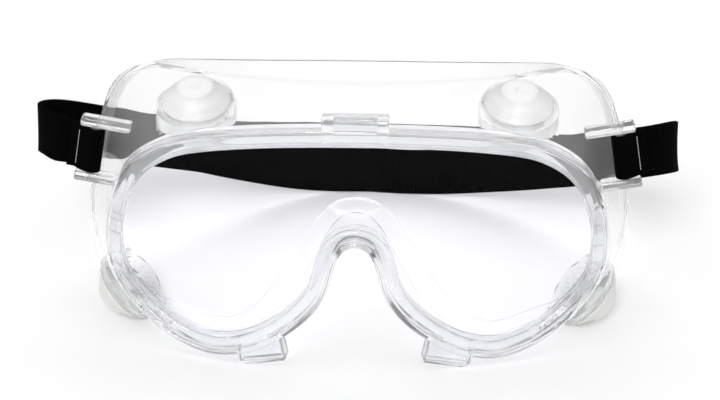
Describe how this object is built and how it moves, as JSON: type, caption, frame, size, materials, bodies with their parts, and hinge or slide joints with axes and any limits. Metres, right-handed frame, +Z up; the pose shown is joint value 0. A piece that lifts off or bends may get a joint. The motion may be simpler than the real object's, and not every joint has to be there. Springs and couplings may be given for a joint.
{
  "type": "safety goggles",
  "caption": "Clear soft-frame splash goggles with a wide one-piece curved lens, capped indirect vents and a black elastic head strap",
  "frame": {"origin": "Centre of the bounding box in plan, at the height of the table the goggles stand on", "axes": "+X to the right as seen from the front of the lens, along the lens's width. +Y back, from the lens towards the wearer's face and the strap. +Z up"},
  "size_m": [0.2047, 0.1128, 0.086],
  "materials": {
    "soft_clear_pvc": "glossy, water-clear flexible PVC with faint grey edges",
    "clear_polycarbonate": "optically clear, polished both sides",
    "frosted_white_plastic": "milky translucent moulding, satin",
    "clear_hard_plastic": "clear hard moulding",
    "black_elastic": "ribbed knitted elastic webbing, matte black"
  },
  "bodies": {
    "goggles": {"goggle_frame": "soft_clear_pvc", "lens": "clear_polycarbonate", "vent_seat_cheek_left": "clear_hard_plastic", "vent_seat_cheek_right": "clear_hard_plastic", "vent_seat_top_left": "clear_hard_plastic", "vent_seat_top_right": "clear_hard_plastic", "strap_end_left": "black_elastic", "strap_end_right": "black_elastic"},
    "strap": {"strap_band": "black_elastic"},
    "cap_top_left": {"vent_cap_top_left": "frosted_white_plastic"},
    "cap_top_right": {"vent_cap_top_right": "frosted_white_plastic"},
    "cap_cheek_left": {"vent_cap_cheek_left": "frosted_white_plastic"},
    "cap_cheek_right": {"vent_cap_cheek_right": "frosted_white_plastic"}
  },
  "joints": [
    {"name": "strap_swing", "type": "hinge", "parent": "goggles", "child": "strap", "pos_m": [0, -0.02003, 0.06035], "axis": [1, 0, 0], "range_deg": [0, 65]},
    {"name": "cap_pull_top_left", "type": "slide", "parent": "goggles", "child": "cap_top_left", "axis": [0, -0.1908, 0.9816], "range_m": [0, 0.006]},
    {"name": "cap_pull_top_right", "type": "slide", "parent": "goggles", "child": "cap_top_right", "axis": [0, -0.1908, 0.9816], "range_m": [0, 0.006]},
    {"name": "cap_pull_cheek_left", "type": "slide", "parent": "goggles", "child": "cap_cheek_left", "axis": [-0.7789, -0.0764, -0.6224], "range_m": [0, 0.006]},
    {"name": "cap_pull_cheek_right", "type": "slide", "parent": "goggles", "child": "cap_cheek_right", "axis": [0.7789, -0.0764, -0.6224], "range_m": [0, 0.006]}
  ]
}
